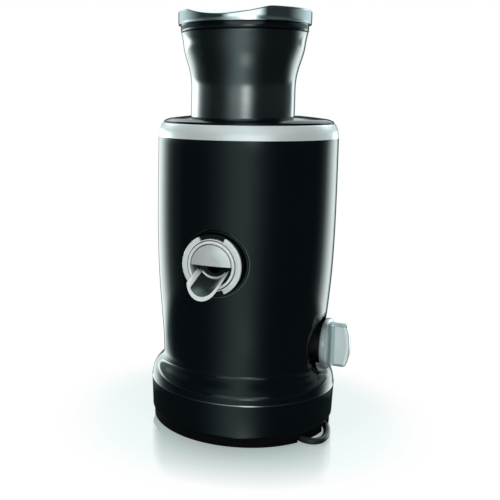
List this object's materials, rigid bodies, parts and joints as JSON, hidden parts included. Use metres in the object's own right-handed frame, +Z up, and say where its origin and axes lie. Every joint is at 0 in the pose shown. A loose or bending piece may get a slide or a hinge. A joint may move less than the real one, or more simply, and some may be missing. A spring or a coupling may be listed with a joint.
{
  "type": "centrifugal juicer",
  "caption": "Slim upright juicer with a black casing, offset feed tube with a silver capped pusher, a spout set in a round recess and a switch knob.",
  "frame": {"origin": "centre of the foot's underside, on the common axis of the motor, the basket and the casing", "axes": "+Z up, front with the spout towards -Y, switch knob towards +X"},
  "size_m": [0.2492, 0.3433, 0.4499],
  "materials": {
    "gloss_black": "polished black",
    "matte_black": "fine matt black",
    "satin_silver": "satin silver",
    "bright_chrome": "bright chrome",
    "steel": "brushed",
    "soft_rubber": "matt black rubber",
    "grey_rubber": "grey rubber",
    "cord_rubber": "black flexible plastic",
    "cast_alloy": "as cast",
    "dark_iron": "lacquered plates",
    "copper": "enamelled copper",
    "brass_parts": "plain",
    "carbon": "pressed carbon",
    "smoke_plastic": "dark grey plastic",
    "board_green": "green lacquer"
  },
  "bodies": {
    "base": {"foot_ring": "soft_rubber", "base_plate": "matte_black", "base_screws": "steel", "body_shell": "gloss_black", "collar_ring": "satin_silver", "inner_deck": "matte_black", "motor_mounts": "soft_rubber", "motor_frame_bottom": "cast_alloy", "motor_frame_top": "cast_alloy", "tie_bolts": "steel", "motor_stator": "dark_iron", "motor_windings": "copper", "lower_bearing": "steel", "upper_bearing": "steel", "neck_bush": "brass_parts", "shaft_seal": "grey_rubber", "brush_holders": "brass_parts", "brushes": "carbon", "control_board": "board_green", "rotary_switch": "matte_black", "knob_pocket": "matte_black", "spout_pocket": "matte_black", "spout_seal": "grey_rubber", "juice_bowl": "smoke_plastic", "pulp_container": "smoke_plastic", "interlock_switch": "matte_black", "strain_relief": "cord_rubber", "cord_tube": "cord_rubber", "cord_coil": "cord_rubber", "cord_tail": "cord_rubber", "cord_tie": "matte_black", "plug": "cord_rubber", "plug_pins": "steel"},
    "rotor": {"motor_shaft": "steel", "rotor_core": "dark_iron", "commutator": "copper", "cooling_fan": "matte_black", "drive_coupling": "steel"},
    "basket": {"sieve_basket": "steel", "basket_hub": "smoke_plastic", "grater_disc": "steel"},
    "lock_ring": {"lock_ring": "matte_black"},
    "interlock_rod": {"interlock_rod": "steel"},
    "lid": {"lid": "gloss_black", "feed_tube": "gloss_black", "feed_chute": "gloss_black", "lid_gasket": "grey_rubber"},
    "pusher": {"pusher_body": "matte_black", "pusher_flange": "gloss_black", "pusher_cap": "bright_chrome"},
    "knob": {"knob": "bright_chrome", "knob_hub": "matte_black", "knob_spindle": "steel"},
    "spout": {"spout": "bright_chrome", "spout_collar": "bright_chrome", "spout_bezel": "bright_chrome", "spout_barrel": "matte_black"}
  },
  "joints": [
    {"name": "motor_spin", "type": "hinge", "parent": "base", "child": "rotor", "pos_m": [0, 0, 0.1], "axis": [0, 0, 1], "continuous": true},
    {"name": "basket_spin", "type": "hinge", "parent": "base", "child": "basket", "pos_m": [0, 0, 0.25], "axis": [0, 0, 1], "continuous": true},
    {"name": "lid_turn", "type": "hinge", "parent": "base", "child": "lock_ring", "pos_m": [0, 0, 0.318], "axis": [0, 0, 1], "range_deg": [0, 25]},
    {"name": "interlock_slide", "type": "slide", "parent": "base", "child": "interlock_rod", "axis": [0, 0, 1], "range_m": [0, 0.003]},
    {"name": "lid_lift", "type": "slide", "parent": "lock_ring", "child": "lid", "axis": [0, 0, 1], "range_m": [0, 0.12]},
    {"name": "pusher_slide", "type": "slide", "parent": "lid", "child": "pusher", "axis": [0, 0, 1], "range_m": [0, 0.17]},
    {"name": "knob_turn", "type": "hinge", "parent": "base", "child": "knob", "pos_m": [0.1, 0, 0.095], "axis": [1, 0, 0], "range_deg": [-45, 90]},
    {"name": "spout_turn", "type": "hinge", "parent": "base", "child": "spout", "pos_m": [0, -0.1, 0.192], "axis": [0, -1, 0], "range_deg": [0, 180]}
  ],
  "couplings": [
    {"joint": "basket_spin", "follows": "motor_spin", "ratio": 1},
    {"joint": "interlock_slide", "follows": "lid_turn", "m_per_rad": 0.0068755}
  ]
}
